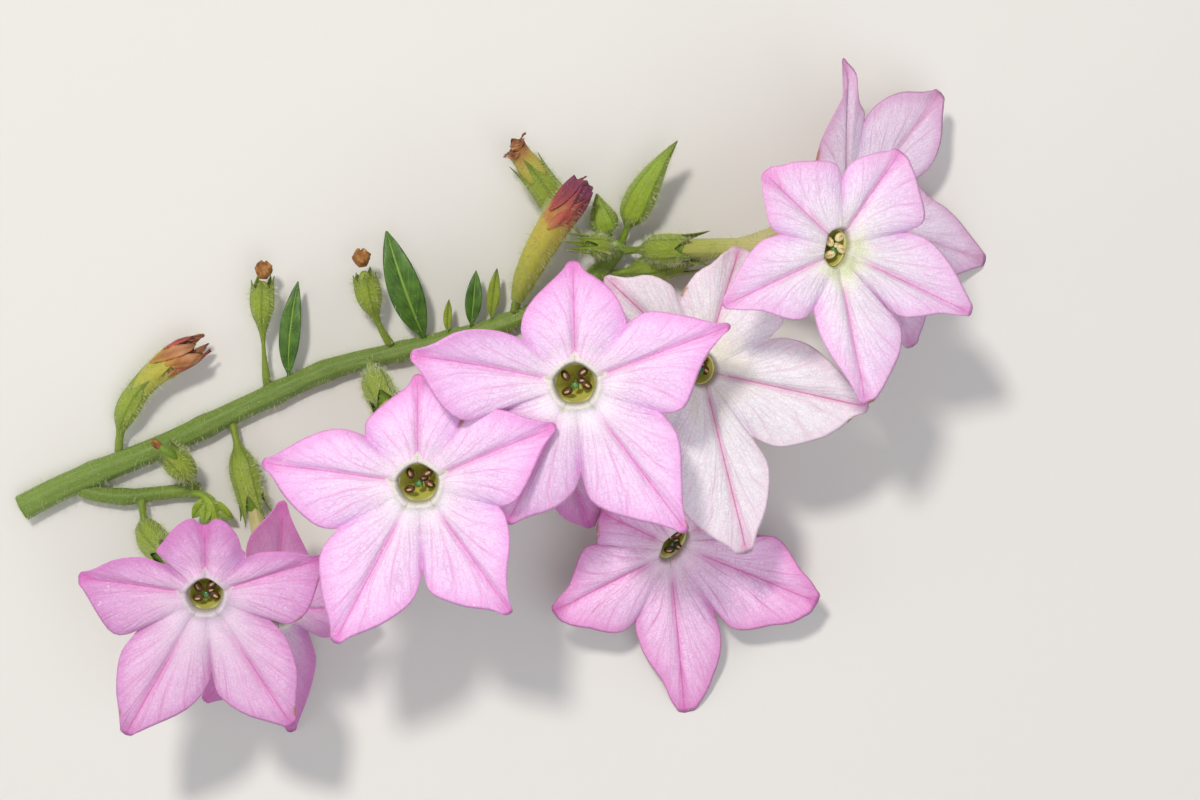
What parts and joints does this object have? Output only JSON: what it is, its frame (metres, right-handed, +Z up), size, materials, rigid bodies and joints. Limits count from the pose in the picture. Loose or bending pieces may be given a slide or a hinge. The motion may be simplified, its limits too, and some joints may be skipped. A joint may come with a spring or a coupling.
{
  "type": "cut flowering tobacco spray",
  "caption": "Cut spray of flowering tobacco with pink trumpet blooms, hairy green calyces, buds, faded blooms and seed capsules, lying flat with its blooms turned up.",
  "frame": {"origin": "on the ground under the middle of the spray's outline", "axes": "+X along the spray, from the cut end of its stem towards its tip; +Y across it; +Z up, the way its blooms face"},
  "size_m": [0.1768, 0.1208, 0.0549],
  "materials": {
    "stem": "soft green, finely hairy",
    "petal": "matt pink with a whitish throat and deeper veins",
    "pale_petal": "matt blush white with faint pink veins",
    "calyx": "yellow-green, ribbed and hairy",
    "spent_bloom": "dull, wilted",
    "capsule": "green, drying at the tip",
    "leaf": "matt green with a paler midrib"
  },
  "bodies": {
    "root": {"main_stem": "stem", "side_stem": "stem", "bloom_centre": "petal", "calyx_centre": "calyx", "bloom_middle": "petal", "calyx_middle": "calyx", "bloom_left": "petal", "calyx_left": "calyx", "bloom_left_under": "petal", "calyx_left_under": "calyx", "bloom_low": "petal", "calyx_low": "calyx", "bloom_pale": "pale_petal", "calyx_pale": "calyx", "bloom_right": "petal", "calyx_right": "calyx", "bloom_right_under": "petal", "calyx_right_under": "calyx", "bloom_hidden": "petal", "calyx_hidden": "calyx", "bud_upright": "calyx", "bud_round": "calyx", "bud_side": "calyx", "bud_left": "calyx", "bud_low": "calyx", "spent_bloom_tall": "spent_bloom", "spent_bloom_short": "spent_bloom", "spent_bloom_left": "spent_bloom", "seed_capsule_middle": "capsule", "seed_capsule_left": "capsule", "bract_middle": "leaf", "bract_thin": "leaf", "leaf_long": "leaf", "leaf_small": "leaf", "leaf_left": "leaf"}
  },
  "joints": []
}
